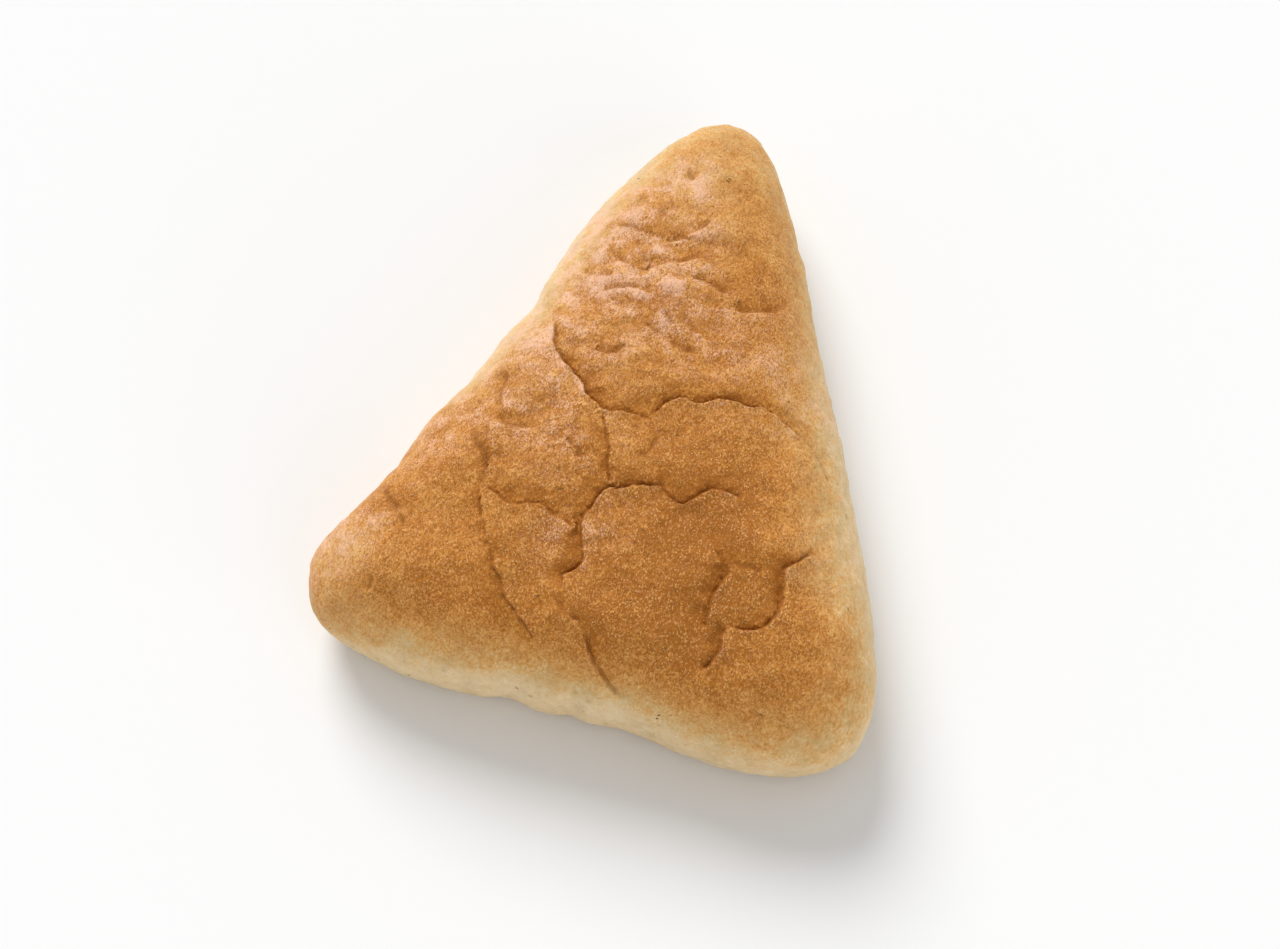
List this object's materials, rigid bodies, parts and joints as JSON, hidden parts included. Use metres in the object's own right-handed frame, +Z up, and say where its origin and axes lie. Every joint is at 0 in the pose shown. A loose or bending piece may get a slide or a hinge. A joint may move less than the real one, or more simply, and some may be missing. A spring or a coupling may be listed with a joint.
{
  "type": "sourdough bread roll",
  "caption": "Soft triangular sourdough roll with rounded corners, a domed creased brown top, pale sides and a flat base to rest on.",
  "frame": {"origin": "middle of the roll's box, on the flat base", "axes": "+Z up from the base, -Y towards the straight near side, +Y towards the long point, +X to the right with the near side in front"},
  "size_m": [0.103, 0.1228, 0.0339],
  "materials": {
    "crust": "matte golden-brown soft crust, paler on the sides, lightly floured"
  },
  "bodies": {
    "root": {"bread_roll": "crust"}
  },
  "joints": []
}
